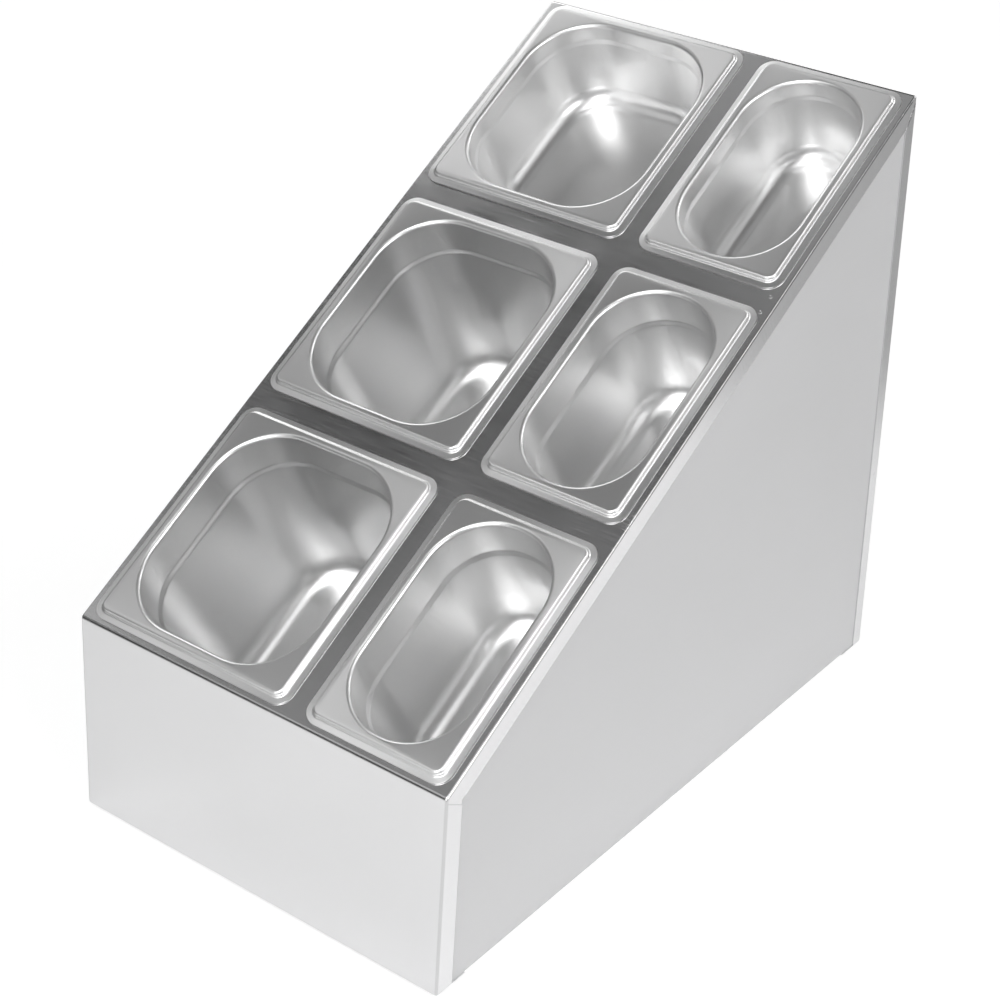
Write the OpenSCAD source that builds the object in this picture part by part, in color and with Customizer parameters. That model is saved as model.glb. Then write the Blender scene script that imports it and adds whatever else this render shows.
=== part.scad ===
// Sloped counter-top holder for six condiment pans, all of stainless steel.
// A folded shell makes the front, the sloped deck and the back, and two side plates close it.
// Three wide pans hang in the left column and three narrow pans in the right one.
// X runs across the holder, Y from its front to its back and Z up.
// The origin is on the table, under the middle of the holder.

/* [Pans] */
// Length of every pan's rim, up the slope
rim_l = 176; // [160:1:190]
// Width of a wide pan's rim
wide_rim_w = 162; // [150:1:175]
// Width of a narrow pan's rim
narrow_rim_w = 108; // [100:1:120]
// Width of the rim outside the mouth of a pan
rim_margin = 11.5; // [10:0.5:14]
// Corner radius of a wide pan's mouth
wide_mouth_r = 46; // [40:1:52]
// Height of the rim, from its lip to its flat top
rim_h = 4.2; // [3.4:0.1:6]
// Width of the lip outside the flat top of the rim
lip_w = 5; // [4:0.1:6]
// Outer corner radius of the rim
rim_corner_r = 11; // [9:0.5:14]
// Depth of the two upper pans, over the rim and the floor
shallow_depth = 62; // [45:1:66]
// Depth of the middle and lower wide pans
wide_depth = 146; // [100:1:152]
// Depth of the middle and lower narrow pans
narrow_depth = 97; // [80:1:130]
// Sheet thickness of the pans
pan_wall = 0.7; // [0.6:0.1:1]
// Depth of the stacking step in the two upper pans
shallow_step_depth = 11.5; // [8:0.5:16]
// Depth of the stacking step in the deeper pans
deep_step_depth = 27; // [20:0.5:34]
// Width of the stacking step
step_w = 3.2; // [2:0.1:4]
// How far the walls draw in above the floor of a shallow pan
shallow_draft = 10.5; // [8:0.5:12]
// How far the walls draw in above the floor of a deeper pan
deep_draft = 9.2; // [7:0.5:12]
// Inner radius between the walls and the floor
floor_r = 12; // [8:0.5:15]

/* [Deck] */
// Slope of the deck in degrees
slope = 32.2; // [25:0.1:38]
// Gap between the two columns of rims
column_gap = 13.3; // [10:0.1:30]
// Gap between the rows of rims
row_gap = 16; // [10:0.5:30]
// Deck left beside the outer rims, at the left and the right
side_margin = 5.4; // [4:0.1:20]
// Deck left below the lowest rims and above the highest
end_margin = 4.3; // [4:0.1:20]
// Gap between a pan's body and the edge of its cut-out
cut_clearance = 2; // [1:0.1:4]
// Rest gap between a rim's lip and the deck
seat_gap = 0.3; // [0.2:0.1:0.5]

/* [Housing] */
// Height of the front panel
front_h = 146; // [135:1:220]
// Sheet thickness of the housing
sheet = 1; // [0.8:0.1:1.5]
// Outer radius of the folds
fold_r = 2; // [1.6:0.1:4]
// Width of the side flanges along the front and the deck
flange_w = 15; // [10:0.5:25]
// Width of the side flange along the back
back_flange_w = 11.5; // [8:0.5:20]
// Gap in the mitred corners of the side flanges
mitre_gap = 0.4; // [0.2:0.1:1]
// Width of the folded-in bottom edges of the front and the back
bottom_flange_w = 28; // [24:1:40]
// Width of the folded-in bottom edge of a side plate
side_flange_w = 14; // [10:1:20]
// Gap between a side plate's edges and the shell
plate_gap = 0.3; // [0.2:0.1:0.6]
// Gap between the upper pans and the inside of the back
back_clearance = 1; // [0.5:0.1:10]

/* [Rails] */
// Depth of the two rails under the deck
rail_h = 10; // [6:1:16]
// Gap between a rail and the cut-outs beside it
rail_clearance = 6; // [3:0.5:8]
// Gap between a rail's ends and the side plates
rail_end_gap = 0.5; // [0.3:0.1:2]

/* [Feet] */
// Height of the rubber feet under the housing
foot_h = 3; // [2:0.5:8]
// Diameter of a foot's pad
foot_d = 12; // [10:1:14]
// Diameter of the hole for a foot's neck
foot_hole_d = 6; // [5:0.1:7]
// Radial clearance round a foot's neck
foot_clearance = 0.2; // [0.1:0.05:0.4]
// Diameter of the head that holds a foot in its hole
foot_head_d = 9; // [8:0.5:11]
// Height of a foot's head
foot_head_h = 3; // [2:0.5:5]
// Distance from the middle of a foot to the outer face of the front or back
foot_inset = 17; // [15:0.5:20]
// Distance from the middle of a foot to the outer face of a side
foot_side_inset = 32; // [26:1:60]

/* [Hidden] */
$fn = 48;

// Steps in one arc of a section
arc_steps = 5;
// Radii of the small bends of a pan's rim
rim_bend_r = 1.2;
lip_bend_r = 1;
bead_r = 2;
// How far a rim's side leans out, and how far its lip droops
rim_lean = 0.5;
lip_droop = 0.3;
// How far a wall draws in above the stacking step, and the height of the step
upper_draft = 1;
step_h = 4;
// Shares of the step's width and height over which each of its ends curves
step_ease = [0.15, 0.3];
// Overlap that joins the strips of one pan
lap = 0.4;
// Rounding of a foot's pad and head
foot_edge = 0.8;
// Spare depth of a cut that goes right through a sheet
spare = 2;
// A straight side shorter than this is left out
least = 0.01;

rows = [0, 1, 2];
body_w = 2 * side_margin + wide_rim_w + column_gap + narrow_rim_w;
deck_l = 2 * end_margin + 3 * rim_l + 2 * row_gap;
deck_run = deck_l * cos(slope);
back_h = front_h + deck_l * sin(slope);
row_pitch = rim_l + row_gap;
left_x = -body_w / 2 + side_margin + wide_rim_w / 2;
right_x = body_w / 2 - side_margin - narrow_rim_w / 2;

wide_mouth_w = wide_rim_w - 2 * rim_margin;
narrow_mouth_w = narrow_rim_w - 2 * rim_margin;
mouth_l = rim_l - 2 * rim_margin;
narrow_mouth_r = narrow_mouth_w / 2;
rim_top = rim_h + seat_gap;

// The back leans out at its foot, so that its inside just clears the upper pans.
pan_foot_r = floor_r + pan_wall;
foot_s = deck_l - end_margin - rim_margin - shallow_draft - floor_r;
foot_drop = shallow_depth - pan_foot_r - rim_top;
corner_run = deck_run - foot_s * cos(slope) - foot_drop * sin(slope);
corner_drop = (deck_l - foot_s) * sin(slope) + foot_drop * cos(slope);
corner_reach = norm([corner_run, corner_drop]);
keep_off = pan_foot_r + sheet + back_clearance;
lean = max(0, atan2(corner_drop, corner_run) - acos(min(1, keep_off / corner_reach)));
base_l = deck_run + back_h * tan(lean);
front_y = -base_l / 2;

// Outline of the housing from the side, without its folded-in bottom edges
front_foot = [front_y, foot_h];
front_top = [front_y, foot_h + front_h];
back_top = [front_y + deck_run, foot_h + back_h];
back_foot = [front_y + base_l, foot_h];
outline = [front_foot, front_top, back_top, back_foot];

function unit(v) = v / norm(v);
function right_of(v) = [v[1], -v[0]];
function reversed(list) = [for (i = [len(list) - 1:-1:0]) list[i]];
function arc(c, r, a0, a1) =
    [for (i = [0:arc_steps]) let (a = a0 + (a1 - a0) * i / arc_steps) c + r * [cos(a), sin(a)]];

// A corner of a path, rounded by radius r
function round_corner(a, b, c, r) =
    let (
        u = unit(a - b),
        v = unit(c - b),
        half = acos(u * v) / 2,
        middle = b + unit(u + v) * r / sin(half),
        from = b + u * r / tan(half) - middle,
        to = b + v * r / tan(half) - middle,
        a0 = atan2(from[1], from[0]),
        turn = atan2(from[0] * to[1] - from[1] * to[0], from * to)
    )
    arc(middle, r, a0, a0 + turn);

// A path with all of its inner corners rounded
function round_path(p, r) = [
    p[0],
    for (i = [1:len(p) - 2]) each round_corner(p[i - 1], p[i], p[i + 1], r),
    p[len(p) - 1],
];

// The direction of a path at its point i
function heading(p, i) =
    let (
        before = i > 0 ? unit(p[i] - p[i - 1]) : unit(p[1] - p[0]),
        after = i < len(p) - 1 ? unit(p[i + 1] - p[i]) : before
    )
    unit(before + after);

// The outline of a sheet whose face follows path p, with its thickness to the right
function sheet_outline(p, thick) =
    concat(p, reversed([for (i = [0:len(p) - 1]) p[i] + thick * right_of(heading(p, i))]));

// The point where two lines, each given by a point and a direction, meet
function meet(p, u, q, v) =
    p + u * (right_of(v) * (q - p)) / (right_of(v) * u);

// The corners of a polygon side pushed in by distance d on the right
function pushed(a, b, d) = [a + d * right_of(unit(b - a)), unit(b - a)];
function inner_corner(a, b, c, d0, d1) =
    let (first = pushed(a, b, d0), second = pushed(b, c, d1))
    meet(first[0], first[1], second[0], second[1]);

module rounded_rect(w, l, r) {
    for (x = [-1, 1], y = [-1, 1])
        translate([x * (w / 2 - r), y * (l / 2 - r)])
            circle(r);
    if (w > 2 * r + least)
        square([w - 2 * r, l], center = true);
    if (l > 2 * r + least)
        square([w, l - 2 * r], center = true);
}

// Moves a shape from the deck's own frame into place: X across, Y up the slope, Z out of the deck
module on_deck() {
    translate([0, front_y, foot_h + front_h])
        rotate([slope, 0, 0])
            children();
}

// The distance up the slope to the middle of a row of pans
function row_s(row) = end_margin + rim_l / 2 + row * row_pitch;

// The thickness of a shape seen from the side, centred on x
module across(x, thick) {
    translate([x - thick / 2, 0, 0])
        rotate([90, 0, 90])
            linear_extrude(thick)
                children();
}

// A pan's section swept round a rounded rectangle; out is 1 outside the line and -1 inside it
module sweep_ring(w, l, r, section, out) {
    straight = [l - 2 * r, w - 2 * r];
    half = [w / 2, l / 2];
    for (turn = [0:3]) {
        side = turn % 2;
        rotate([0, 0, 90 * turn]) {
            if (straight[side] > least)
                translate([0, straight[side] / 2, 0])
                    rotate([90, 0, 0])
                        linear_extrude(straight[side])
                            polygon([for (p = section) [half[side] + out * p[0], p[1]]]);
            translate([half[side] - r, half[1 - side] - r, 0])
                rotate_extrude(angle = 90)
                    polygon([for (p = section) [r + out * p[0], p[1]]]);
        }
    }
}

// The rim outside its flat top: over the edge, down and out into the lip
rim_path = concat(
    [[-rim_bend_r - lap, 0]],
    arc([-rim_bend_r, -rim_bend_r], rim_bend_r, 90, 0),
    arc([rim_lean + lip_bend_r, lip_bend_r + pan_wall - rim_h + lip_droop], lip_bend_r, 180, 270),
    [[lip_w, pan_wall - rim_h]]
);

// A pan's wall from the flat top of the rim, over the mouth, down and into the floor
function wall_path(depth, step_depth, draft) =
    let (
        step_from = [upper_draft, -step_depth],
        step_to = [upper_draft + step_w, -step_depth - step_h],
        ease = [step_w * step_ease[0], -step_h * step_ease[1]],
        foot = pan_wall + floor_r - depth
    )
    concat(
        [[-bead_r - lap, 0]],
        arc([-bead_r, -bead_r], bead_r, 90, 0),
        [step_from, step_from + ease, step_to - ease, step_to],
        arc([draft + floor_r, foot], floor_r, 180, 270),
        [[draft + floor_r + lap, pan_wall - depth]]
    );

// One pan, hanging from the top of its rim at Z = 0
module pan(rim_w, mouth_w, mouth_r, depth, step_depth, draft) {
    top_w = rim_w - 2 * lip_w;
    top_l = rim_l - 2 * lip_w;
    top_r = rim_corner_r - lip_w;
    inner = draft + floor_r;
    sweep_ring(top_w, top_l, top_r, sheet_outline(rim_path, pan_wall), 1);
    sweep_ring(mouth_w, mouth_l, mouth_r,
        sheet_outline(wall_path(depth, step_depth, draft), pan_wall), -1);
    translate([0, 0, -pan_wall])
        linear_extrude(pan_wall)
            difference() {
                rounded_rect(top_w - 2 * rim_bend_r, top_l - 2 * rim_bend_r, top_r - rim_bend_r);
                rounded_rect(mouth_w + 2 * bead_r, mouth_l + 2 * bead_r, mouth_r + bead_r);
            }
    translate([0, 0, -depth])
        linear_extrude(pan_wall)
            rounded_rect(mouth_w - 2 * inner, mouth_l - 2 * inner, mouth_r - inner);
}

module wide_pan(row, depth, step_depth, draft) {
    color("gainsboro")
        on_deck()
            translate([left_x, row_s(row), rim_top])
                pan(wide_rim_w, wide_mouth_w, wide_mouth_r, depth, step_depth, draft);
}

module narrow_pan(row, depth, step_depth, draft) {
    color("gainsboro")
        on_deck()
            translate([right_x, row_s(row), rim_top])
                pan(narrow_rim_w, narrow_mouth_w, narrow_mouth_r, depth, step_depth, draft);
}

module pan_lower_left() {
    wide_pan(0, wide_depth, deep_step_depth, deep_draft);
}

module pan_middle_left() {
    wide_pan(1, wide_depth, deep_step_depth, deep_draft);
}

module pan_upper_left() {
    wide_pan(2, shallow_depth, shallow_step_depth, shallow_draft);
}

module pan_lower_right() {
    narrow_pan(0, narrow_depth, deep_step_depth, deep_draft);
}

module pan_middle_right() {
    narrow_pan(1, narrow_depth, deep_step_depth, deep_draft);
}

module pan_upper_right() {
    narrow_pan(2, shallow_depth, shallow_step_depth, shallow_draft);
}

// The cut-outs that the pans hang in
module pan_cuts() {
    grow = 2 * (pan_wall + cut_clearance);
    for (row = rows) {
        translate([left_x, row_s(row), -spare - sheet])
            linear_extrude(sheet + 2 * spare)
                rounded_rect(wide_mouth_w + grow, mouth_l + grow, wide_mouth_r + grow / 2);
        translate([right_x, row_s(row), -spare - sheet])
            linear_extrude(sheet + 2 * spare)
                rounded_rect(narrow_mouth_w + grow, mouth_l + grow, narrow_mouth_r + grow / 2);
    }
}

// The side flange along one edge of the outline, mitred where it meets the next one
module side_flange(i) {
    widths = [flange_w, flange_w, back_flange_w];
    a = outline[i];
    b = outline[i + 1];
    u = unit(b - a);
    cut = mitre_gap / sqrt(2);
    start = i == 0
        ? a + widths[i] * right_of(u)
        : inner_corner(outline[i - 1], a, b, widths[i - 1], widths[i]) + cut * u;
    end = i == 2
        ? meet(a + widths[i] * right_of(u), u, back_foot, [1, 0])
        : inner_corner(a, b, outline[i + 2], widths[i], widths[i + 1]) - cut * u;
    polygon([i == 0 ? a : a + cut * u, i == 2 ? b : b - cut * u, end, start]);
}

module foot_places() {
    for (x = [-1, 1], y = [-1, 1])
        translate([x * (body_w / 2 - foot_side_inset), y * (base_l / 2 - foot_inset), 0])
            children();
}

module shell() {
    skin = round_path(concat(
        [front_foot + [bottom_flange_w, 0]],
        outline,
        [back_foot - [bottom_flange_w, 0]]
    ), fold_r);
    color("silver")
        difference() {
            union() {
                across(0, body_w)
                    polygon(sheet_outline(skin, sheet));
                for (side = [-1, 1], i = [0, 1, 2])
                    across(side * (body_w - sheet) / 2, sheet)
                        intersection() {
                            side_flange(i);
                            polygon(skin);
                        }
            }
            on_deck()
                pan_cuts();
            foot_places()
                translate([0, 0, foot_h - spare])
                    cylinder(d = foot_hole_d, h = sheet + 2 * spare);
        }
}

// A side plate inside the flanges, with its bottom edge folded in
module side_plate(side) {
    edge = sheet + plate_gap;
    floor_z = foot_h + edge;
    front_low = [front_y + edge, floor_z];
    front_high = inner_corner(front_foot, front_top, back_top, edge, edge);
    back_high = inner_corner(front_top, back_top, back_foot, edge, edge);
    back_line = pushed(back_top, back_foot, edge);
    back_low = meet(back_line[0], back_line[1], front_low, [1, 0]);
    face = body_w / 2 - 1.5 * sheet;
    flange_mid = body_w / 2 - 2 * sheet - side_flange_w / 2;
    color("lightgray") {
        across(side * face, sheet)
            polygon([front_low, front_high, back_high, back_low]);
        across(side * (flange_mid + sheet / 2), side_flange_w + sheet)
            polygon([
                front_low,
                front_low + [0, sheet],
                back_low + [-sheet, sheet],
                back_low + [-sheet, 0],
            ]);
    }
}

// A channel under the deck, between two rows of pans
module rail(row) {
    strip = row_gap + 2 * (rim_margin - pan_wall - cut_clearance);
    w = strip - 2 * rail_clearance;
    l = body_w - 4 * sheet - 2 * rail_end_gap;
    color("silver")
        on_deck()
            translate([0, row_s(row) + row_pitch / 2, -sheet]) {
                translate([-l / 2, -w / 2, -sheet])
                    cube([l, w, sheet]);
                for (y = [-w / 2, w / 2 - sheet])
                    translate([-l / 2, y, -rail_h])
                        cube([l, sheet, rail_h]);
            }
}

// A rubber foot pushed into its hole from below
module foot(x, y) {
    neck_r = foot_hole_d / 2 - foot_clearance;
    head_z = foot_h + sheet + foot_clearance;
    head_r = foot_head_d / 2;
    color("dimgray")
        translate([x * (body_w / 2 - foot_side_inset), y * (base_l / 2 - foot_inset), 0])
            rotate_extrude()
                polygon([
                    [0, 0],
                    [foot_d / 2 - foot_edge, 0],
                    [foot_d / 2, foot_edge],
                    [foot_d / 2, foot_h],
                    [neck_r, foot_h],
                    [neck_r, head_z],
                    [head_r, head_z],
                    [head_r, head_z + foot_edge],
                    [neck_r, head_z + foot_head_h],
                    [0, head_z + foot_head_h],
                ]);
}

shell();
side_plate(-1);  // side_plate_left
side_plate(1);  // side_plate_right
rail(0);  // rail_lower
rail(1);  // rail_upper
foot(-1, -1);  // foot_front_left
foot(1, -1);  // foot_front_right
foot(-1, 1);  // foot_back_left
foot(1, 1);  // foot_back_right
pan_lower_left();
pan_middle_left();
pan_upper_left();
pan_lower_right();
pan_middle_right();
pan_upper_right();
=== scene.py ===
# %% [markdown]
# A sloped counter-top holder of stainless steel, with six food pans hanging in its deck.
# The solid model gives every size and place, and this lesson gives each piece its looks.
# It folds the sheet-metal shell, presses the pans, and then gives them their brushed and satin steel.
# All lengths are in metres: X runs across the holder, Y from its front to its back and Z up.

# %% Load the frame
from math import atan2, copysign, cos, hypot, pi, radians, remainder, sin, sqrt, tan

import bmesh
import bpy
from mathutils import Euler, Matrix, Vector


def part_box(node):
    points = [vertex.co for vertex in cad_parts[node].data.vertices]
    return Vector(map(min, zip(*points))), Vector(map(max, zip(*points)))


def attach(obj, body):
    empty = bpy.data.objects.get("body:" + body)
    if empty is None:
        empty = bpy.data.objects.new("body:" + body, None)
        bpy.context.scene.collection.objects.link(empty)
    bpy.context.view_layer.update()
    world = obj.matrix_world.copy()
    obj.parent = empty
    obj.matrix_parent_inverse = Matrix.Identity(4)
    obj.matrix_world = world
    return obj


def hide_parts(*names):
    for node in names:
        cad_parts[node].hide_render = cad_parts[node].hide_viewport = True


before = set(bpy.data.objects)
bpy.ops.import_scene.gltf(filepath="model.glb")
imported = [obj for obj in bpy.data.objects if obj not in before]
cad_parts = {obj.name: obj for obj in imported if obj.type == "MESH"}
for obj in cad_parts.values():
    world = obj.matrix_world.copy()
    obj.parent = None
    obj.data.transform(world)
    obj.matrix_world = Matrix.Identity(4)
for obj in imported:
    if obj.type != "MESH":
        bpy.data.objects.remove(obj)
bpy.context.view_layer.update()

print("nodes:", ", ".join(sorted(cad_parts)))

# %% [markdown]
# The holder is one sheet bent into a front, a sloped deck and a back.
# Its corners are measured from the box of the shell, and the widths of its folds are the real ones.
# The deck has a frame of its own: x across it, s up the slope from the front fold and h out of it.

# %% The sizes of the holder
MM = 0.001
shell_low, shell_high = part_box("shell")
width = shell_high.x - shell_low.x
foot_h = shell_low.z
front_y = shell_low.y
slope = radians(32.2)
front_h = 146 * MM
deck_l = 568.6 * MM
back_lean = radians(6.1148)
sheet = 1 * MM
deck_run = deck_l * cos(slope)
back_h = front_h + deck_l * sin(slope)
base_l = deck_run + back_h * tan(back_lean)


def on_deck(x, s, h):
    """A point of the deck's own frame, as a point of the row frame."""
    y = s * cos(slope) - h * sin(slope)
    z = s * sin(slope) + h * cos(slope)
    return Vector((x, front_y + y, foot_h + front_h + z))


print("the holder is %.0f mm wide, %.0f mm deep and %.0f mm high" % (
    width / MM, base_l / MM, (foot_h + back_h) / MM))

# %% [markdown]
# The camera stands at the right of the front and looks down on the deck.
# Its place and lens come from the straight edges of the holder, and it is rolled a little.
# A point that it looks at and a roll say more to a reader than three turning angles.

# %% The camera
camera_place = Vector((0.73345, -1.07113, 0.89062))
camera_view = Vector((-0.502163, 0.718931, -0.480594))
camera_roll = radians(3.685)
camera_lens = 78.447
sensor_width = 36

bpy.ops.object.camera_add(location=camera_place)
camera = bpy.context.object
camera.name = "camera"
camera_turn = camera_view.to_track_quat("-Z", "Y") @ Euler((0, 0, camera_roll)).to_quaternion()
camera.rotation_euler = camera_turn.to_euler()
camera.data.sensor_width = sensor_width
camera.data.lens = camera_lens
bpy.context.scene.camera = camera
print("camera at", [round(v, 3) for v in camera_place])

# %% [markdown]
# A studio for shiny metal is mostly what the metal mirrors: a white floor, large soft lamps and a dark room.
# The floor is a plain plane, far larger than the holder, so that its edge is never in the picture.

# %% The floor
FLOOR_SIZE = 14

bpy.ops.mesh.primitive_plane_add(size=FLOOR_SIZE)
floor = bpy.context.object
floor.name = "floor"
print("floor", FLOOR_SIZE, "m wide")

# %% [markdown]
# A material's nodes often work out a number, such as a distance from the middle or how far a value has come.
# Two helpers make those nodes, so that each use of them is one line.

# %% Helpers for the numbers in materials
def compute(nodes, links, operation, *values):
    """The result of a math node, whose values are numbers or outputs of other nodes."""
    node = nodes.new("ShaderNodeMath")
    node.operation = operation
    for socket, value in zip(node.inputs, values):
        if isinstance(value, (int, float)):
            socket.default_value = value
        else:
            links.new(value, socket)
    return node.outputs[0]


def graded(nodes, links, value, start, end, low, high):
    """A value spread from one range over another, and held at the ends of it."""
    grade = nodes.new("ShaderNodeMapRange")
    for socket, number in zip(grade.inputs[1:5], (start, end, low, high)):
        socket.default_value = number
    links.new(value, grade.inputs["Value"])
    return grade.outputs["Result"]


print("helpers:", compute.__name__, graded.__name__)

# %% [markdown]
# Looked at by the camera, the floor is lifted to white, and what the holder shades stays a little darker.
# The lift grows with the distance, because the lamps don't light the far floor.
# Under the holder there is no lift at all, so that an open cut-out shows a dark inside.
# The mirroring steel sees an edge of the floor, as of a sheet of white paper on a table.
# The side flange of the deck shows that edge, because it is dark at its top and light at its foot.

# %% The zones of the floor
FLOOR_LIFT = 0.45
FLOOR_NEAR = 1
FLOOR_FAR = 4
FLOOR_INSET = 9 * MM
PAPER_NEAR = 0.62
PAPER_FAR = 0.85
PAST_PAPER = 0.5

floor_paint = bpy.data.materials.new("floor paint")
floor_paint.use_nodes = True
nodes, links = floor_paint.node_tree.nodes, floor_paint.node_tree.links
nodes.clear()
rays = nodes.new("ShaderNodeLightPath").outputs
place = nodes.new("ShaderNodeTexCoord")
reach = nodes.new("ShaderNodeVectorMath")
reach.operation = "LENGTH"
links.new(place.outputs["Object"], reach.inputs[0])
lift = graded(nodes, links, reach.outputs["Value"], FLOOR_NEAR, FLOOR_FAR, FLOOR_LIFT, 1)
past_paper = graded(nodes, links, reach.outputs["Value"], PAPER_NEAR, PAPER_FAR, 0, PAST_PAPER)
spread = nodes.new("ShaderNodeVectorMath")
spread.operation = "ABSOLUTE"
links.new(place.outputs["Object"], spread.inputs[0])
sides = nodes.new("ShaderNodeSeparateXYZ")
links.new(spread.outputs[0], sides.inputs[0])
under_x = compute(nodes, links, "LESS_THAN", sides.outputs["X"], width / 2 - FLOOR_INSET)
under_y = compute(nodes, links, "LESS_THAN", sides.outputs["Y"], base_l / 2 - FLOOR_INSET)
open_floor = compute(nodes, links, "SUBTRACT", 1, compute(nodes, links, "MULTIPLY", under_x, under_y))
seen = compute(nodes, links, "MULTIPLY", rays["Is Camera Ray"], open_floor)
mirrored = compute(nodes, links, "MULTIPLY", rays["Is Glossy Ray"], open_floor)
print("the paper ends between", PAPER_NEAR, "and", PAPER_FAR, "m from the middle")

# %% [markdown]
# The paint itself is plain matt white, with a glow added in each zone.
# In mirror rays it glows only a little, because the steel already mirrors its lit part.
# Brighter lamps would make the floor white too, but they would burn out the holder.

# %% The paint of the floor
FLOOR_COLOR = (0.86, 0.86, 0.86, 1)
FLOOR_TO_CAMERA = 0.6
FLOOR_TO_MIRRORS = 0.15
WHITE = (1, 1, 1, 1)

matt = nodes.new("ShaderNodeBsdfDiffuse")
matt.inputs["Color"].default_value = FLOOR_COLOR
glow = nodes.new("ShaderNodeEmission")
links.new(compute(nodes, links, "ADD",
                  compute(nodes, links, "MULTIPLY", mirrored, FLOOR_TO_MIRRORS),
                  compute(nodes, links, "MULTIPLY", seen, lift)), glow.inputs["Strength"])
lit = nodes.new("ShaderNodeAddShader")
links.new(matt.outputs[0], lit.inputs[0])
links.new(glow.outputs[0], lit.inputs[1])
white = nodes.new("ShaderNodeEmission")
white.inputs["Color"].default_value = WHITE
shown = nodes.new("ShaderNodeMixShader")
links.new(compute(nodes, links, "MULTIPLY", seen, FLOOR_TO_CAMERA), shown.inputs[0])
links.new(lit.outputs[0], shown.inputs[1])
links.new(white.outputs[0], shown.inputs[2])
dark = nodes.new("ShaderNodeEmission")
dark.inputs["Strength"].default_value = 0
edged = nodes.new("ShaderNodeMixShader")
links.new(compute(nodes, links, "MULTIPLY", rays["Is Glossy Ray"], past_paper), edged.inputs[0])
links.new(shown.outputs[0], edged.inputs[1])
links.new(dark.outputs[0], edged.inputs[2])
out = nodes.new("ShaderNodeOutputMaterial")
links.new(edged.outputs[0], out.inputs["Surface"])
floor.data.materials.append(floor_paint)
print("floor paint has", len(nodes), "nodes")

# %% [markdown]
# The room is white to the camera, for a plain background, and nearly dark to all else.
# The dark room gives the steel its deep tones, because polished metal has hardly a colour of its own.

# %% The room
ROOM_LEVEL = 0.025
scene = bpy.context.scene
scene.view_settings.view_transform = "Standard"
room = bpy.data.worlds.new("room")
room.use_nodes = True
scene.world = room
nodes, links = room.node_tree.nodes, room.node_tree.links
nodes.clear()
air = nodes.new("ShaderNodeBackground")
air.inputs["Color"].default_value = WHITE
rays = nodes.new("ShaderNodeLightPath").outputs
links.new(compute(nodes, links, "MAXIMUM", rays["Is Camera Ray"], ROOM_LEVEL), air.inputs["Strength"])
out = nodes.new("ShaderNodeOutputWorld")
links.new(air.outputs[0], out.inputs["Surface"])
print("room level", ROOM_LEVEL)

# %% [markdown]
# Square soft boxes stand on a ring around the holder, and all of them face it.
# Low ones at the sides draw the bright lines along folds and rims, and the high ones fill the bowls.
# High at the left, where the deck would mirror them, only weak ones stand.
# So the deck stays dark, and the pans stand out from it.

# %% The lamps
LAMP_DISTANCE = 2.6
LAMP_SIZE = 1.15
HOLDER_MIDDLE = Vector((0, 0, 0.25))


def soft_box(turn, rise, watts):
    """A soft box at a turn from +X and a rise above the level, in degrees."""
    level_x, level_y = cos(radians(turn)), sin(radians(turn))
    way = Vector((level_x * cos(radians(rise)), level_y * cos(radians(rise)), sin(radians(rise))))
    bpy.ops.object.light_add(type="AREA", location=HOLDER_MIDDLE + way * LAMP_DISTANCE)
    lamp = bpy.context.object
    lamp.name = "soft_box_%d_%d" % (turn, rise)
    lamp.rotation_euler = (-way).to_track_quat("-Z", "Y").to_euler()
    lamp.data.size = LAMP_SIZE
    lamp.data.energy = watts
    return lamp


soft_boxes = [
    (280, 12, 18.7), (340, 22, 22.6),
    (0, 32, 10.4), (50, 32, 16.4), (200, 32, 2.4), (240, 32, 2.1), (280, 32, 8.9),
    (150, 42, 9.9),
    (0, 52, 3.4), (90, 52, 6), (225, 52, 0.9), (270, 52, 16.7),
    (144, 72, 1.2),
]
for turn, rise, watts in soft_boxes:
    soft_box(turn, rise, watts)
print("soft boxes:", len(soft_boxes))

# %% [markdown]
# Sheet steel and pressed steel share one thing: a fine grain that scatters the light a little.
# The grain is a noise pulled long in one direction, so a single node group serves every steel here.
# It gives a mask for the tone and the roughness, and a height for the bump of each material.

# %% The grain of steel
GRAIN_STRETCH = (30, 1200, 1200)
GRAIN_DETAIL = 3
CLOUD_SCALE = 9
CLOUD_DETAIL = 4


def group_socket(group, name, side, kind="NodeSocketFloat", default=None):
    """A named socket on a node group."""
    socket = group.interface.new_socket(name=name, in_out=side, socket_type=kind)
    if default is not None:
        socket.default_value = default
    return socket


def make_grain_group():
    """Noise pulled long by the stretch of each axis, and a slow cloud over it."""
    group = bpy.data.node_groups.new("steel grain", "ShaderNodeTree")
    group_socket(group, "Place", "INPUT", "NodeSocketVector")
    group_socket(group, "Stretch", "INPUT", "NodeSocketVector", GRAIN_STRETCH)
    group_socket(group, "Cloud Scale", "INPUT", default=CLOUD_SCALE)
    group_socket(group, "Grain", "OUTPUT")
    group_socket(group, "Cloud", "OUTPUT")
    nodes, links = group.nodes, group.links
    given = nodes.new("NodeGroupInput")
    result = nodes.new("NodeGroupOutput")
    pulled = nodes.new("ShaderNodeVectorMath")
    pulled.operation = "MULTIPLY"
    links.new(given.outputs["Place"], pulled.inputs[0])
    links.new(given.outputs["Stretch"], pulled.inputs[1])
    grain = nodes.new("ShaderNodeTexNoise")
    grain.inputs["Scale"].default_value = 1
    grain.inputs["Detail"].default_value = GRAIN_DETAIL
    links.new(pulled.outputs[0], grain.inputs["Vector"])
    cloud = nodes.new("ShaderNodeTexNoise")
    cloud.inputs["Detail"].default_value = CLOUD_DETAIL
    links.new(given.outputs["Place"], cloud.inputs["Vector"])
    links.new(given.outputs["Cloud Scale"], cloud.inputs["Scale"])
    links.new(grain.outputs["Fac"], result.inputs["Grain"])
    links.new(cloud.outputs["Fac"], result.inputs["Cloud"])
    return group


grain_group = make_grain_group()
print("node group:", grain_group.name)

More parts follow.
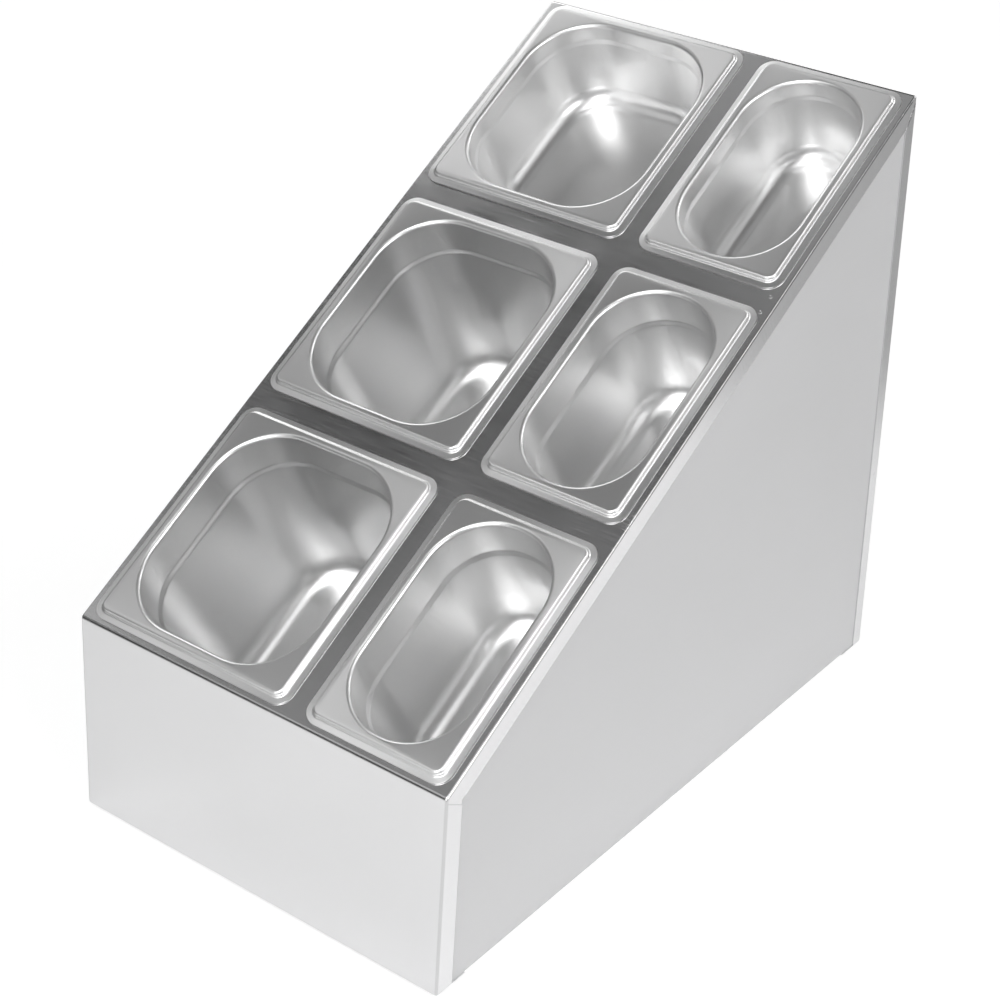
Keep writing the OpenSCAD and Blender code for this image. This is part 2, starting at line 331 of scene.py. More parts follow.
# %% [markdown]
# Four things set one steel apart from another: its colour, its roughness, its grain and its marks.
# Each is a small function that adds its nodes to a material, and the steel function joins them.
# Noise stays near its middle value, so it is spread from the range that it really fills.

# %% The colour and the bump of a steel
# The mark and the tone below paint shade along the upright folds of the front.
FOLD_SHADE_MARK = "fold_shade"
FOLD_SHADE_TONE = 0.82
NOISE_LOW = 0.3
NOISE_HIGH = 0.7


def map_range(nodes, links, value, low, high):
    """A noise value spread over a range of its own."""
    return graded(nodes, links, value, NOISE_LOW, NOISE_HIGH, low, high)


def color_mix(nodes, blend="MIX"):
    """A node that mixes two colours, as the sockets of its factor, its colours and its result."""
    node = nodes.new("ShaderNodeMix")
    node.data_type = "RGBA"
    node.blend_type = blend
    first, second = [socket for socket in node.inputs if socket.type == "RGBA"]
    result = next(socket for socket in node.outputs if socket.type == "RGBA")
    return node.inputs["Factor"], first, second, result


def tone_of(nodes, links, value, color, tone):
    """A colour that a mask makes a little darker or lighter."""
    factor, dark, light, toned = color_mix(nodes)
    dark.default_value = (*[channel * (1 - tone) for channel in color], 1)
    light.default_value = (*[channel * (1 + tone) for channel in color], 1)
    links.new(value, factor)
    return toned


def fold_shaded(nodes, links, color):
    """A colour that is darker where the piece is marked, as painted shade along a fold."""
    mark = nodes.new("ShaderNodeAttribute")
    mark.attribute_name = FOLD_SHADE_MARK
    factor, plain, shade, shaded = color_mix(nodes, "MULTIPLY")
    shade.default_value = (FOLD_SHADE_TONE, FOLD_SHADE_TONE, FOLD_SHADE_TONE, 1)
    links.new(mark.outputs["Fac"], factor)
    links.new(color, plain)
    return shaded


def bump_of(nodes, links, value, height):
    """A bump of the given height in metres, as a normal."""
    relief = nodes.new("ShaderNodeBump")
    relief.inputs["Distance"].default_value = height
    relief.inputs["Strength"].default_value = 1
    links.new(value, relief.inputs["Height"])
    return relief.outputs["Normal"]


print("a noise is read from", NOISE_LOW, "to", NOISE_HIGH)

# %% [markdown]
# Brushing leaves fine scratches, and they spread a highlight across themselves and hardly along.
# So the grain and the highlight have to run the same way over every fold and round every corner.
# The folded sheet and the pressed rim get that way from a map, and a straight piece from its own axes.

# %% The way of the grain
SHEET_MAP = "sheet"
DRAWN_MAP = "drawn"
RIM_MARK = "rim"


def sheet_grain(nodes, links, shader):
    """Places the grain on the map of the flat sheet, and turns the brushed highlights with it."""
    place = nodes.new("ShaderNodeUVMap")
    place.uv_map = SHEET_MAP
    along = nodes.new("ShaderNodeTangent")
    along.direction_type = "UV_MAP"
    along.uv_map = SHEET_MAP
    links.new(along.outputs["Tangent"], shader.inputs["Tangent"])
    return place.outputs["UV"]


def drawn_grain(nodes, links, shader):
    """Turns the drawn highlights of a pan with its grain, and shows them only where its rim is marked."""
    outward = nodes.new("ShaderNodeTangent")
    outward.direction_type = "UV_MAP"
    outward.uv_map = DRAWN_MAP
    links.new(outward.outputs["Tangent"], shader.inputs["Tangent"])
    rim = nodes.new("ShaderNodeAttribute")
    rim.attribute_name = RIM_MARK
    drawn = shader.inputs["Anisotropic"]
    links.new(compute(nodes, links, "MULTIPLY", rim.outputs["Fac"], drawn.default_value), drawn)
    return nodes.new("ShaderNodeTexCoord").outputs["Object"]


def straight_grain(nodes, links, shader):
    """Places the grain by the coordinates of the object."""
    return nodes.new("ShaderNodeTexCoord").outputs["Object"]


print("maps:", SHEET_MAP, DRAWN_MAP)

# %% [markdown]
# The shell is brushed sheet, the pans are drawn and satin, and the hidden rails keep the finish of the mill.
# The side plate was flat and dull in the photo, so it is the roughest of them.
# A quarter turn sets the brushed highlight across the grain, where the scratches spread it.

# %% The steels
QUARTER_TURN = 0.25
HALF = 0.5


def steel(name, color, roughness, spread, stretch, bump, tone=0.04, brushed=0,
          lay=straight_grain, fold_shade=False):
    """A steel whose roughness varies by spread, with highlights pulled across its grain by brushed."""
    material = bpy.data.materials.new(name)
    material.use_nodes = True
    nodes, links = material.node_tree.nodes, material.node_tree.links
    shader = nodes["Principled BSDF"]
    shader.inputs["Metallic"].default_value = 1
    shader.inputs["Anisotropic"].default_value = brushed
    shader.inputs["Anisotropic Rotation"].default_value = QUARTER_TURN
    grain = nodes.new("ShaderNodeGroup")
    grain.node_tree = grain_group
    grain.inputs["Stretch"].default_value = stretch
    links.new(lay(nodes, links, shader), grain.inputs["Place"])
    blend = nodes.new("ShaderNodeMix")
    blend.inputs["Factor"].default_value = HALF
    links.new(grain.outputs["Grain"], blend.inputs["A"])
    links.new(grain.outputs["Cloud"], blend.inputs["B"])
    mask = blend.outputs["Result"]
    rough = map_range(nodes, links, mask, roughness - spread, roughness + spread)
    links.new(rough, shader.inputs["Roughness"])
    base = tone_of(nodes, links, mask, color, tone)
    # Painted shade: the colour is darker on the marked folds.
    if fold_shade:
        base = fold_shaded(nodes, links, base)
    links.new(base, shader.inputs["Base Color"])
    links.new(bump_of(nodes, links, grain.outputs["Grain"], bump), shader.inputs["Normal"])
    return material


ON_SHEET = (30, 900, 1)
ALONG = (800, 12, 800)
ACROSS = (12, 800, 800)
EVEN = (2500, 2500, 2500)
# The sheet carries the painted shade of its upright front folds.
sheet_steel = steel("brushed sheet steel", color=(0.78, 0.78, 0.785), roughness=0.22, spread=0.06,
                    stretch=ON_SHEET, bump=0.02 * MM, tone=0.1, brushed=0.6, lay=sheet_grain, fold_shade=True)
plate_steel = steel("brushed plate steel", color=(0.73, 0.73, 0.735), roughness=0.85, spread=0.03,
                    stretch=ALONG, bump=0.002 * MM)
pan_steel = steel("satin pan steel", color=(0.82, 0.82, 0.82), roughness=0.36, spread=0.03,
                  stretch=EVEN, bump=0.001 * MM, brushed=0.5, lay=drawn_grain)
rail_steel = steel("mill finish steel", color=(0.68, 0.68, 0.69), roughness=0.4, spread=0.05,
                   stretch=ACROSS, bump=0.002 * MM)
print("steels:", [material.name for material in (sheet_steel, plate_steel, pan_steel, rail_steel)])

# %% [markdown]
# The feet are moulded rubber, which is dark, dull and faintly mottled.
# It needs no grain direction: a fine even noise gives the mottle and the bump that the mould leaves.

# %% The rubber
RUBBER_COLOR = (0.03, 0.03, 0.03)
RUBBER_TONE = 0.3
RUBBER_ROUGHNESS = (0.6, 0.8)
RUBBER_BUMP = 0.02 * MM
MOTTLE_SCALE = 900
MOTTLE_DETAIL = 5

rubber = bpy.data.materials.new("foot rubber")
rubber.use_nodes = True
nodes, links = rubber.node_tree.nodes, rubber.node_tree.links
shader = nodes["Principled BSDF"]
place = nodes.new("ShaderNodeTexCoord")
mottle = nodes.new("ShaderNodeTexNoise")
mottle.inputs["Scale"].default_value = MOTTLE_SCALE
mottle.inputs["Detail"].default_value = MOTTLE_DETAIL
links.new(place.outputs["Object"], mottle.inputs["Vector"])
mottled = mottle.outputs["Fac"]
links.new(tone_of(nodes, links, mottled, RUBBER_COLOR, RUBBER_TONE), shader.inputs["Base Color"])
links.new(map_range(nodes, links, mottled, *RUBBER_ROUGHNESS), shader.inputs["Roughness"])
links.new(bump_of(nodes, links, mottled, RUBBER_BUMP), shader.inputs["Normal"])
print("materials:", len(bpy.data.materials))

# %% [markdown]
# Every new piece starts from a primitive, and is then shaped in edit mode.
# An operator works on what is selected, and here the selection is made by place or by direction,
# because the numbers of the faces change with every step and a place doesn't.

# %% Helpers for edit mode
def start_piece(name):
    """Names the primitive that was just added, applies its place and opens it in edit mode."""
    piece = bpy.context.object
    piece.name = name
    bpy.ops.object.transform_apply(location=True, rotation=True, scale=True)
    bpy.ops.object.mode_set(mode="EDIT")
    return piece


def close_piece():
    """Leaves edit mode and deselects everything."""
    bpy.ops.object.mode_set(mode="OBJECT")
    bpy.ops.object.select_all(action="DESELECT")


def pick(kind, test):
    """In edit mode, selects the verts, edges or faces that pass a test, and nothing else."""
    bpy.ops.mesh.select_mode(type={"verts": "VERT", "edges": "EDGE", "faces": "FACE"}[kind])
    bpy.ops.mesh.select_all(action="DESELECT")
    mesh = bmesh.from_edit_mesh(bpy.context.object.data)
    chosen = [item for item in getattr(mesh, kind) if test(item)]
    for item in chosen:
        item.select_set(True)
    mesh.select_flush_mode()
    bmesh.update_edit_mesh(bpy.context.object.data)
    return len(chosen)


print("helpers:", start_piece.__name__, close_piece.__name__, pick.__name__)

# %% [markdown]
# Whole pieces are thickened, cut, joined and shaded with a few moves of their own.
# Modifiers are applied at once, so that the next step can select what they made.
# Where a wide flat face meets a fold, its light should stay flat, so wide faces count for more.

# %% Helpers for whole pieces
SMOOTH_ANGLE = 35
FACE_WEIGHT = 80


def activate(piece):
    """Selects one piece and makes it the active one."""
    bpy.ops.object.select_all(action="DESELECT")
    piece.select_set(True)
    bpy.context.view_layer.objects.active = piece


def apply_modifier(piece, kind, **settings):
    """Adds a modifier with its settings and applies it."""
    activate(piece)
    modifier = piece.modifiers.new(kind.lower(), kind)
    for key, value in settings.items():
        setattr(modifier, key, value)
    bpy.ops.object.modifier_apply(modifier=modifier.name)


def cut_away(piece, cutter):
    """Cuts a closed cutter out of a piece and deletes the cutter."""
    apply_modifier(piece, "BOOLEAN", operation="DIFFERENCE", solver="EXACT", object=cutter)
    bpy.data.objects.remove(cutter)


def join_pieces(pieces):
    """Joins pieces into the first of them."""
    bpy.ops.object.select_all(action="DESELECT")
    for piece in pieces:
        piece.select_set(True)
    bpy.context.view_layer.objects.active = pieces[0]
    bpy.ops.object.join()
    return pieces[0]


def smooth(piece):
    """Shades a piece smooth where its faces meet at a small angle, and lets its flat faces stay flat."""
    activate(piece)
    bpy.ops.object.shade_smooth_by_angle(angle=radians(SMOOTH_ANGLE))
    apply_modifier(piece, "WEIGHTED_NORMAL", keep_sharp=True, weight=FACE_WEIGHT, use_face_influence=True)


def finish_piece(piece, material, body, slot, *nodes):
    """Gives a piece its material and body, and hides the nodes that it stands for; the slot is not used."""
    piece.data.materials.clear()
    piece.data.materials.append(material)
    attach(piece, body)
    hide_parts(*nodes)
    print(piece.name, "has", len(piece.data.polygons), "faces")


print("faces that meet at less than", SMOOTH_ANGLE, "degrees are shaded smooth")

# %% [markdown]
# The real shell is one sheet, cut flat and folded. Folding it here face by face would need many turns,
# so it begins as a cube, pulled into a wedge by two moves of its top edges.
# The skin of the wedge is the outside of the sheet, and everything later is measured from its outline.

# %% The wedge
outline = [(front_y, foot_h), (front_y, foot_h + front_h),
           (front_y + deck_run, foot_h + back_h), (front_y + base_l, foot_h)]

bpy.ops.object.select_all(action="DESELECT")
bpy.ops.mesh.primitive_cube_add(size=1, scale=(width, base_l, back_h),
                                location=(0, front_y + base_l / 2, foot_h + back_h / 2))
shell = start_piece("folded_shell")
mid_y = front_y + base_l / 2
pick("verts", lambda v: v.co.z > foot_h + back_h / 2 and v.co.y < mid_y)
bpy.ops.transform.translate(value=(0, 0, front_h - back_h))
pick("verts", lambda v: v.co.z > foot_h + back_h / 2 and v.co.y > mid_y)
bpy.ops.transform.translate(value=(0, deck_run - base_l, 0))
print("the wedge has", len(bmesh.from_edit_mesh(shell.data).faces), "faces")

# %% [markdown]
# A press brake leaves a round fold, and that fold draws the bright lines along the edges of the sheet.
# A bevel makes each one, and starts where the middle of its curve lies as deep as a true arc's would.
# The fold between the front and the deck is wider than the others, because the photo shows it softer.

# %% The folds
FOLD_R = 2 * MM
FRONT_FOLD_R = 3.5 * MM
SIDE_FOLD_R = 1.5 * MM
FOLD_STEPS = 6
SIDE_FOLD_STEPS = 4
TINY = 0.01 * MM
NEAR = 0.1 * MM
ALONG_X = 0.99


def runs_across(edge):
    """True for an edge along X."""
    return abs((edge.verts[0].co - edge.verts[1].co).normalized().x) > ALONG_X


def is_at(point, y, z):
    """True for a point near a corner of the outline."""
    return abs(point.y - y) < NEAR and abs(point.z - z) < NEAR


def corner_angle(i):
    """The inner angle of the side outline at its corner i."""
    here, before, after = [Vector(outline[k % 4]) for k in (i, i - 1, i + 1)]
    return (before - here).angle(after - here)


def fold_offset(angle, radius):
    """Where a bevel starts, so that the middle of its curve lies as deep as an arc of the radius."""
    return radius * (1 / sin(angle / 2) - 1) / ((2 - sqrt(2)) * cos(angle / 2))


for i, (y, z) in enumerate(outline):
    pick("edges", lambda e: runs_across(e) and is_at(e.verts[0].co, y, z))
    radius = FRONT_FOLD_R if i == 1 else FOLD_R
    bpy.ops.mesh.bevel(offset=fold_offset(corner_angle(i), radius), segments=FOLD_STEPS, affect="EDGES")
pick("edges", lambda e: not runs_across(e) and abs(e.verts[0].co.x) > width / 2 - TINY)
bpy.ops.mesh.bevel(offset=SIDE_FOLD_R, segments=SIDE_FOLD_STEPS, affect="EDGES")
print("after the folds it has", len(bmesh.from_edit_mesh(shell.data).faces), "faces")

# %% [markdown]
# Along each side the sheet is folded down to a narrow flange, which the flat side plate lies behind.
# At the foot of the front and the back it is folded in, which stiffens the base and takes the feet.
# The wedge still has whole sides and a whole bottom, so they are cut along lines and their middles deleted.
# Solidify then gives the skin the thickness of the sheet, inwards, so the outside keeps its size.

# %% The side flanges
FLANGE_W = 15 * MM
BACK_FLANGE_W = 11.5 * MM
BOTTOM_FLANGE_W = 28 * MM
BOTTOM_REACH = 1.8 * MM


def inward_line(i, distance):
    """A line parallel to side i of the outline, moved inwards: a point on it and its inward normal."""
    a, b = [Vector((0, *outline[k])) for k in (i, i + 1)]
    along = (b - a).normalized()
    inward = Vector((0, along.z, -along.y))
    return a + inward * distance, inward


def is_side(face):
    """True for a flat face in one of the two sides."""
    return abs(face.normal.x) > ALONG_X and abs(face.calc_center_median().x) > width / 2 - TINY


flange_lines = [inward_line(0, FLANGE_W), inward_line(1, FLANGE_W), inward_line(2, BACK_FLANGE_W)]
for point, inward in flange_lines:
    pick("faces", is_side)
    bpy.ops.mesh.bisect(plane_co=point, plane_no=inward)
pick("faces", lambda f: is_side(f) and all(
    (f.calc_center_median() - p).dot(n) > 0 for p, n in flange_lines))
bpy.ops.mesh.delete(type="FACE")

low_z = foot_h + BOTTOM_REACH
front_edge = front_y + BOTTOM_FLANGE_W
back_edge = front_y + base_l - BOTTOM_FLANGE_W
for y in (front_edge, back_edge):
    pick("faces", lambda f: all(v.co.z < low_z for v in f.verts))
    bpy.ops.mesh.bisect(plane_co=(0, y, 0), plane_no=(0, 1, 0))
pick("faces", lambda f: f.calc_center_median().z < low_z
     and front_edge < f.calc_center_median().y < back_edge)
bpy.ops.mesh.delete(type="FACE")
close_piece()
apply_modifier(shell, "SOLIDIFY", thickness=sheet, offset=-1, use_even_offset=True)
print("the flanges leave", len(shell.data.polygons), "faces")

# %% [markdown]
# Each pan hangs in a cut-out that follows its mouth with a little room all round.
# The cutter is a round plate of that shape, extruded through the deck, one for each pan of the two columns.
# All six are joined, so that one boolean cuts the deck once.

# %% The cut-outs
RIM_L = 176 * MM
WIDE_RIM_W = 162 * MM
NARROW_RIM_W = 108 * MM
RIM_MARGIN = 11.5 * MM
WIDE_MOUTH_R = 46 * MM
SIDE_MARGIN = 5.4 * MM
END_MARGIN = 4.3 * MM
ROW_GAP = 16 * MM
PAN_WALL = 0.7 * MM
CUT_CLEARANCE = 2 * MM
CUTTER_H = 6 * MM
CUTTER_FOOT = -4 * MM
CORNER_STEPS = 20
LEAST_SIDE = 1 * MM

mouth_l = RIM_L - 2 * RIM_MARGIN
columns = {
    "left": (-width / 2 + SIDE_MARGIN + WIDE_RIM_W / 2, WIDE_RIM_W, WIDE_MOUTH_R),
    "right": (width / 2 - SIDE_MARGIN - NARROW_RIM_W / 2, NARROW_RIM_W, NARROW_RIM_W / 2 - RIM_MARGIN),
}
rows = {name: END_MARGIN + RIM_L / 2 + i * (RIM_L + ROW_GAP)
        for i, name in enumerate(("lower", "middle", "upper"))}


def round_plate(name, plate_w, plate_l, radius):
    """A flat plate with round corners, open in edit mode with its one face selected."""
    bpy.ops.mesh.primitive_plane_add(size=1, location=(0, 0, 0))
    bpy.context.object.scale = (plate_w, plate_l, 1)
    plate = start_piece(name)
    bpy.ops.mesh.select_all(action="SELECT")
    corner_w = min(radius, plate_w / 2 - LEAST_SIDE)
    bpy.ops.mesh.bevel(offset=corner_w, segments=CORNER_STEPS, affect="VERTICES")
    bpy.ops.mesh.select_mode(type="FACE")
    bpy.ops.mesh.select_all(action="SELECT")
    return plate


def place_on_deck(piece, x, s, h):
    """Turns a piece with the deck and puts its origin at a point of the deck, in the mesh."""
    activate(piece)
    piece.rotation_euler = (slope, 0, 0)
    piece.location = on_deck(x, s, h)
    bpy.ops.object.transform_apply(location=True, rotation=True, scale=True)


cutters = []
for x, rim_w, mouth_r in columns.values():
    for s in rows.values():
        grow = 2 * (PAN_WALL + CUT_CLEARANCE)
        cutter = round_plate("cutter", rim_w - 2 * RIM_MARGIN + grow, mouth_l + grow, mouth_r + grow / 2)
        bpy.ops.mesh.extrude_region_move(TRANSFORM_OT_translate={"value": (0, 0, CUTTER_H)})
        bpy.ops.mesh.select_all(action="SELECT")
        bpy.ops.mesh.normals_make_consistent(inside=False)
        close_piece()
        place_on_deck(cutter, x, s, CUTTER_FOOT)
        cutters.append(cutter)
cut_away(shell, join_pieces(cutters))
print("with its cut-outs the shell has", len(shell.data.polygons), "faces")

# %% [markdown]
# Where two flanges meet at a corner, the sheet is cut on the mitre and the edges only touch.
# The fine dark line of that seam shows at the front corner, so a thin cutter opens it on the half angle.

# %% The seams of the flanges
SEAM_W = 0.8 * MM
SEAM_CUT_W = 6 * MM
SEAM_CUT_L = 40 * MM
SEAM_MIDDLE = 23 * MM

for i in (1, 2):
    corner = Vector((0, *outline[i]))
    (first, first_in), (second, second_in) = flange_lines[i - 1], flange_lines[i]
    middle_way = (first_in + second_in).normalized()
    for side in (-1, 1):
        bpy.ops.object.select_all(action="DESELECT")
        bpy.ops.mesh.primitive_cube_add(size=1, scale=(SEAM_CUT_W, SEAM_W, SEAM_CUT_L))
        cutter = start_piece("seam_cutter")
        close_piece()
        activate(cutter)
        cutter.rotation_euler = middle_way.to_track_quat("Z", "X").to_euler()
        cutter.location = corner + middle_way * SEAM_MIDDLE + Vector((side * width / 2, 0, 0))
        bpy.ops.object.transform_apply(location=True, rotation=True, scale=True)
        cut_away(shell, cutter)
print("the seams leave", len(shell.data.polygons), "faces")

# %% [markdown]
# The side plates and the rails are held by spot welds, and each weld leaves a small round mark in the sheet.
# The photographed marks are a row down each back flange and a few on the deck over the upper rail.
# A flattened sphere, half sunk in the face, is the tool that presses each one in.

# %% The marks of the spot welds
WELD_R = 1.3 * MM
WELD_DEPTH = 0.12 * MM
WELD_STEPS = 16
WELD_RINGS = 8
BACK_WELDS = [13 * MM, 156 * MM, 309 * MM, 424 * MM]
DECK_WELDS = [(140 * MM, 371 * MM), (140 * MM, 384 * MM), (140 * MM, 536 * MM)]

bpy.ops.object.select_all(action="DESELECT")
bpy.ops.mesh.primitive_uv_sphere_add(segments=WELD_STEPS, ring_count=WELD_RINGS, radius=WELD_R)
lens = bpy.context.object
lens.name = "weld_lens"
lens.scale = (1, 1, WELD_DEPTH / WELD_R)
bpy.ops.object.transform_apply(scale=True)


def place_lens(point, outward):
    """A copy of the lens that lies on a face."""
    copied = lens.copy()
    copied.data = lens.data.copy()
    bpy.context.collection.objects.link(copied)
    activate(copied)
    copied.rotation_euler = outward.to_track_quat("Z", "Y").to_euler()
    copied.location = point
    bpy.ops.object.transform_apply(location=True, rotation=True, scale=True)
    return copied


welds = []
for height in BACK_WELDS:
    back_y = front_y + base_l - height * tan(back_lean) - BACK_FLANGE_W / 2
    for side in (-1, 1):
        welds.append(place_lens(Vector((side * width / 2, back_y, foot_h + height)), Vector((side, 0, 0))))
for x, s in DECK_WELDS:
    welds.append(place_lens(on_deck(x, s, 0), Vector((0, -sin(slope), cos(slope)))))
bpy.data.objects.remove(lens)
cut_away(shell, join_pieces(welds))
print("the welds leave", len(shell.data.polygons), "faces")

# %% [markdown]
# The cuts leave the flanges in small flat faces.
# They are marked as strong, so that the folds don't bend their light.
# Down each upright fold of the front, a thin line is painted darker, as painted shade of the fold.
# The faces of that line get a mark of their own, which the steel reads and answers with that darker colour.

# %% The shading of the shell
FLAT = 0.99999
UPRIGHT = 0.1
IN_FOLD = (0.1, 0.99)

flat_ways = [Vector((1, 0, 0)), Vector((0, 0, 1))] + [inward_line(i, 0)[1] for i in range(3)]
activate(shell)
bpy.ops.object.mode_set(mode="EDIT")
flat_count = pick("faces", lambda f: any(abs(f.normal.dot(way)) > FLAT for way in flat_ways))
bpy.ops.mesh.mod_weighted_strength(set=True, face_strength="STRONG")
close_piece()
smooth(shell)
# Painted shade: the faces of each upright fold of the front are marked for a darker colour.
fold_shade_mark = shell.data.attributes.new(FOLD_SHADE_MARK, "FLOAT", "FACE")
for face in shell.data.polygons:
    upright = abs(face.normal.z) < UPRIGHT and face.center.y < front_y + 2 * SIDE_FOLD_R
    fold_shade_mark.data[face.index].value = upright and IN_FOLD[0] < abs(face.normal.x) < IN_FOLD[1]
print("flat faces:", flat_count)

# %% [markdown]
# The sheet was brushed while it was flat, so its grain runs across the front, the deck and the back,
# and turns down with each side flange. A UV map that lays the folded sheet flat again, in metres,
# lets one pattern follow all of its folds, and it also gives the brushed highlights their direction.

# %% The flat sheet as a map
HALF_FOLDED = 0.7
outline_sides = []
reach = 0
for i in range(4):
    start, end = [Vector((0, *outline[k % 4])) for k in (i, i + 1)]
    outline_sides.append((start, (end - start).normalized(), reach))
    reach += (end - start).length


def depth_under(side, point):
    """How far a point lies from the line of a side of the outline, seen along X."""
    start, along, _ = side
    return abs((point - start).cross(along).x)


def unfold(piece):
    """Writes the map: across the sheet, and along it from the foot of the front to the foot of the back."""
    sheet_map = piece.data.uv_layers.new(name=SHEET_MAP)
    for face in piece.data.polygons:
        side = min(outline_sides, key=lambda s: depth_under(s, Vector((0, face.center.y, face.center.z))))
        start, along, first = side
        on_flange = abs(face.normal.x) > HALF_FOLDED
        for k in face.loop_indices:
            point = piece.data.vertices[piece.data.loops[k].vertex_index].co
            flat = Vector((0, point.y, point.z))
            across = point.x
            if on_flange:
                across = copysign(width / 2 + depth_under(side, flat), point.x)
            sheet_map.data[k].uv = (across, first + (flat - start).dot(along))


unfold(shell)
print("round the outline the sheet is", round(reach / MM), "mm long")
finish_piece(shell, sheet_steel, "housing", "housing_steel", "shell")

# %% [markdown]
# A food pan is pressed from one disc of sheet, and every part of it runs round the same rounded rectangle.
# So it is made by insets: each one shrinks the face evenly and lowers it, as the section of the pan asks.
# The rim and the bowl have corners of different radius, so they are two runs, bridged by the flat flange.
# A gentle step under the mouth keeps stacked pans from jamming, and reads as a soft dark line in the wall.
# The floor is a flat dome inside a shallow channel, which keeps it stiff and spreads its highlight as a fan.

# %% The sections of a pan
RIM_H = 4.2 * MM
LIP_W = 5 * MM
RIM_CORNER_R = 11 * MM
RIM_BEND_R = 1.8 * MM
LIP_BEND_R = 1.2 * MM
RIM_LEAN = 0.5 * MM
LIP_DROOP = 0.3 * MM
BEAD_R = 2.8 * MM
UPPER_DRAFT = 1 * MM
STEP_H = 5.5 * MM
STEP_W = 1.6 * MM
FLOOR_R = 12 * MM
CHANNEL_LEAN = 8
DOME_RISE = 2 * MM
BEND_STEPS = 6
STEP_STEPS = 8
FLOOR_STEPS = 14
DOME_STEPS = 9
SEAT_GAP = 0.3 * MM


def bend(inset, height, radius, start, end, steps):
    """Points of a round bend, as (inset, height) pairs, between two angles in degrees."""
    angles = [radians(start + (end - start) * i / steps) for i in range(steps + 1)]
    return [(inset - radius * cos(a), height + radius * sin(a)) for a in angles]


def rim_section():
    """From the outer edge of the lip, in along the lip, up the side of the rim and on to its flat top."""
    low = PAN_WALL - RIM_H
    lip_end = LIP_W - RIM_LEAN - LIP_BEND_R
    lip_bend = bend(lip_end, low + LIP_DROOP + LIP_BEND_R, LIP_BEND_R, 270, 180, BEND_STEPS)
    top_bend = bend(LIP_W + RIM_BEND_R, -RIM_BEND_R, RIM_BEND_R, 0, 90, BEND_STEPS)
    return [(0, low)] + lip_bend + top_bend + [(LIP_W + 2 * RIM_BEND_R, 0)]


def bowl_section(depth, step_depth, draft):
    """From the flat flange over the bead of the mouth, past the stacking step and into the floor."""
    bead = bend(0, -BEAD_R, BEAD_R, 90, 180, BEND_STEPS)
    step = []
    for i in range(STEP_STEPS + 1):
        share = i / STEP_STEPS
        eased = share * share * (3 - 2 * share)
        step.append((BEAD_R + UPPER_DRAFT + STEP_W * eased, -step_depth - STEP_H * share))
    floor_h = PAN_WALL + FLOOR_R - depth
    floor_bend = bend(BEAD_R + draft + FLOOR_R, floor_h, FLOOR_R, 0, -90 - CHANNEL_LEAN, FLOOR_STEPS)
    return bead + step + floor_bend


print("the rim's section has", len(rim_section()), "points")

# %% [markdown]
# The press works from the edge of the blank inwards, and so do the insets, one for each point of a section.
# The draw pulls the grain of the flange in to the mouth, and a mark and a map tell the steel where.
# Insets would crease in the narrow floor, so the dome is made of rings that shrink to the middle instead.

# %% The moves of the press
def follow(section):
    """Insets the selected face along a section, from each of its points to the next."""
    for (inset, height), (next_inset, next_height) in zip(section, section[1:]):
        bpy.ops.mesh.inset(thickness=next_inset - inset, depth=next_height - height)


def map_drawn(pan):
    """Writes a map whose first axis follows the grain out from the middle, and whose second goes round."""
    drawn_map = pan.data.uv_layers.new(name=DRAWN_MAP)
    for face in pan.data.polygons:
        face_turn = atan2(face.center.y, face.center.x)
        for k in face.loop_indices:
            point = pan.data.vertices[pan.data.loops[k].vertex_index].co
            turn = face_turn + remainder(atan2(point.y, point.x) - face_turn, 2 * pi)
            drawn_map.data[k].uv = (hypot(point.x, point.y), turn * RIM_L / 2)


def dome_floor():
    """Shrinks the selected floor in rings to its middle and lifts it as a flat dome."""
    size = 1
    for i in range(1, DOME_STEPS):
        smaller = 1 - i / DOME_STEPS
        rise = DOME_RISE * (size ** 2 - smaller ** 2)
        bpy.ops.mesh.extrude_region_move(TRANSFORM_OT_translate={"value": (0, 0, rise)})
        bpy.ops.transform.resize(value=(smaller / size, smaller / size, 1), center_override=(0, 0, 0))
        size = smaller


print("the dome has", DOME_STEPS, "rings and rises", DOME_RISE / MM, "mm")

# %% [markdown]
# A pan is its rim and its bowl, bridged by the flange between them and given the thickness of its wall.
# It is modelled once for each size, level and at the origin, where its sizes are easy to follow.

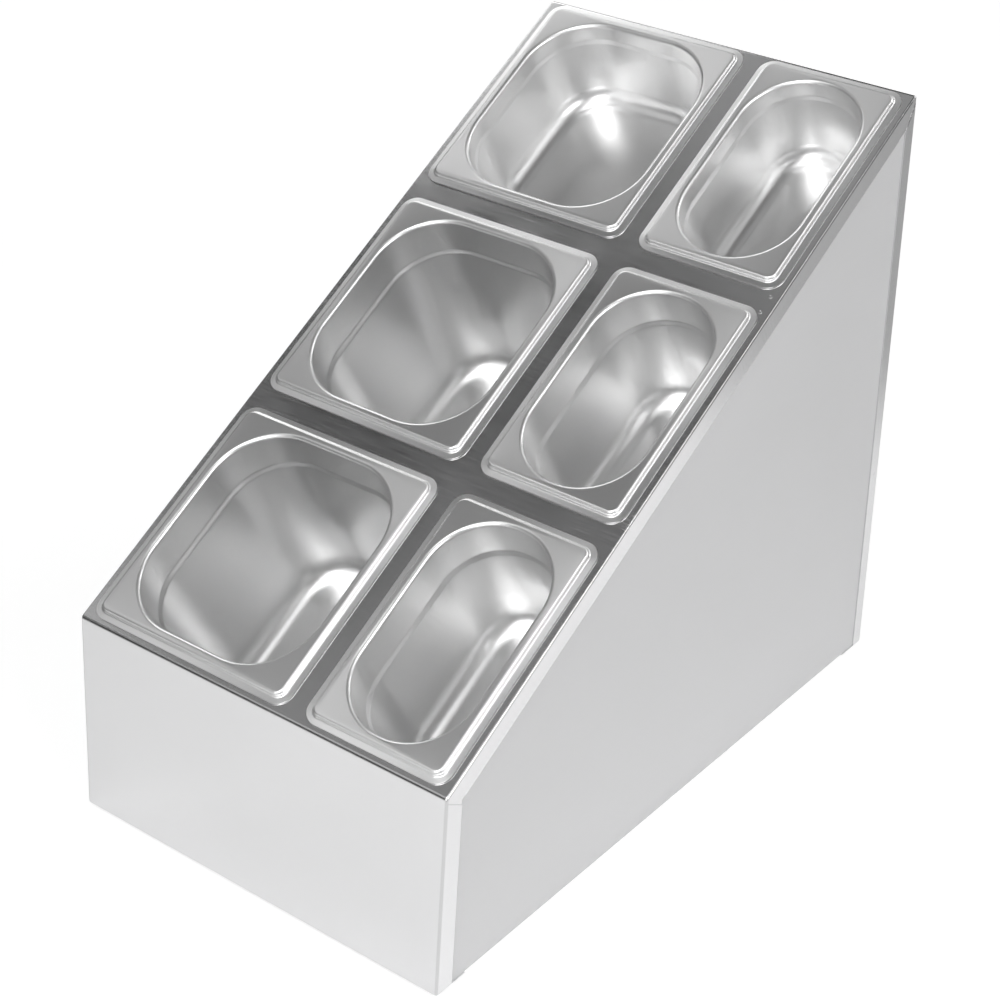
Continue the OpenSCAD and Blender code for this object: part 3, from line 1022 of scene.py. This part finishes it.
# %% Press a pan
def press_pan(name, rim_w, mouth_r, depth, step_depth, draft):
    """A pan with its rim's flat top at Z = 0 and its middle at the origin."""
    rim = round_plate(name, rim_w, RIM_L, RIM_CORNER_R)
    bpy.ops.transform.translate(value=(0, 0, PAN_WALL - RIM_H))
    follow(rim_section())
    bpy.ops.mesh.delete(type="FACE")
    close_piece()
    rim_mark = rim.data.attributes.new(RIM_MARK, "FLOAT", "POINT")
    rim_mark.data.foreach_set("value", [1] * len(rim.data.vertices))
    grow = 2 * BEAD_R
    bowl = round_plate("bowl", rim_w - 2 * RIM_MARGIN + grow, mouth_l + grow, mouth_r + BEAD_R)
    follow(bowl_section(depth, step_depth, draft))
    dome_floor()
    close_piece()
    pan = join_pieces([rim, bowl])
    for vertex in pan.data.vertices:
        if vertex.co.z > -TINY:
            pan.data.attributes[RIM_MARK].data[vertex.index].value = 1
    bpy.ops.object.mode_set(mode="EDIT")
    pick("edges", lambda e: e.is_boundary and all(v.co.z > -TINY for v in e.verts))
    bpy.ops.mesh.bridge_edge_loops()
    bpy.ops.mesh.select_all(action="SELECT")
    bpy.ops.mesh.remove_doubles(threshold=TINY)
    bpy.ops.mesh.normals_make_consistent(inside=False)
    mesh = bmesh.from_edit_mesh(pan.data)
    if min(mesh.faces, key=lambda f: f.calc_center_median().z).normal.z < 0:
        bpy.ops.mesh.flip_normals()
    close_piece()
    apply_modifier(pan, "SOLIDIFY", thickness=PAN_WALL, offset=-1, use_even_offset=True)
    map_drawn(pan)
    return pan


print("helper:", press_pan.__name__)

# %% [markdown]
# The holder takes two rows of deep pans and a shallow row at the top, each with a wide and a narrow one.
# The sizes are the depth, how deep the step lies and how far the wall has drawn in at the floor.
# Each pan is a copy with its own mesh, turned with the deck and set on its cut-out.

# %% The six pans
DEEP_WIDE = (146 * MM, 26.5 * MM, 9.2 * MM)
DEEP_NARROW = (97 * MM, 26.5 * MM, 9.2 * MM)
SHALLOW = (62 * MM, 11 * MM, 10.5 * MM)
pan_kinds = [
    ("left", ("lower", "middle"), DEEP_WIDE),
    ("left", ("upper",), SHALLOW),
    ("right", ("lower", "middle"), DEEP_NARROW),
    ("right", ("upper",), SHALLOW),
]
print("kinds of pan:", len(pan_kinds))
for column, kind_rows, depths in pan_kinds:
    x, rim_w, mouth_r = columns[column]
    first_pan = press_pan("first_pan", rim_w, mouth_r, *depths)
    for row in kind_rows:
        node = "pan_%s_%s" % (row, column)
        pan = first_pan.copy()
        pan.data = first_pan.data.copy()
        pan.name = "pressed_" + node
        bpy.context.collection.objects.link(pan)
        place_on_deck(pan, x, rows[row], RIM_H + SEAT_GAP)
        smooth(pan)
        finish_piece(pan, pan_steel, node, "pan_steel", node)
    bpy.data.objects.remove(first_pan)

# %% [markdown]
# The side plates, the rails and the feet are plain shapes that the solid model already has right.
# They keep their solids, and only their materials are new.

# %% The pieces that stay as the solid model has them
def dress(material, *names):
    """Gives CAD nodes a material."""
    for name in names:
        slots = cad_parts[name].data.materials
        slots.clear()
        slots.append(material)


dress(plate_steel, "side_plate_left", "side_plate_right")
dress(rail_steel, "rail_lower", "rail_upper")
dress(rubber, *[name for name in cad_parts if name.startswith("foot_")])
print("dressed:", plate_steel.name, rail_steel.name, rubber.name, sep=", ")
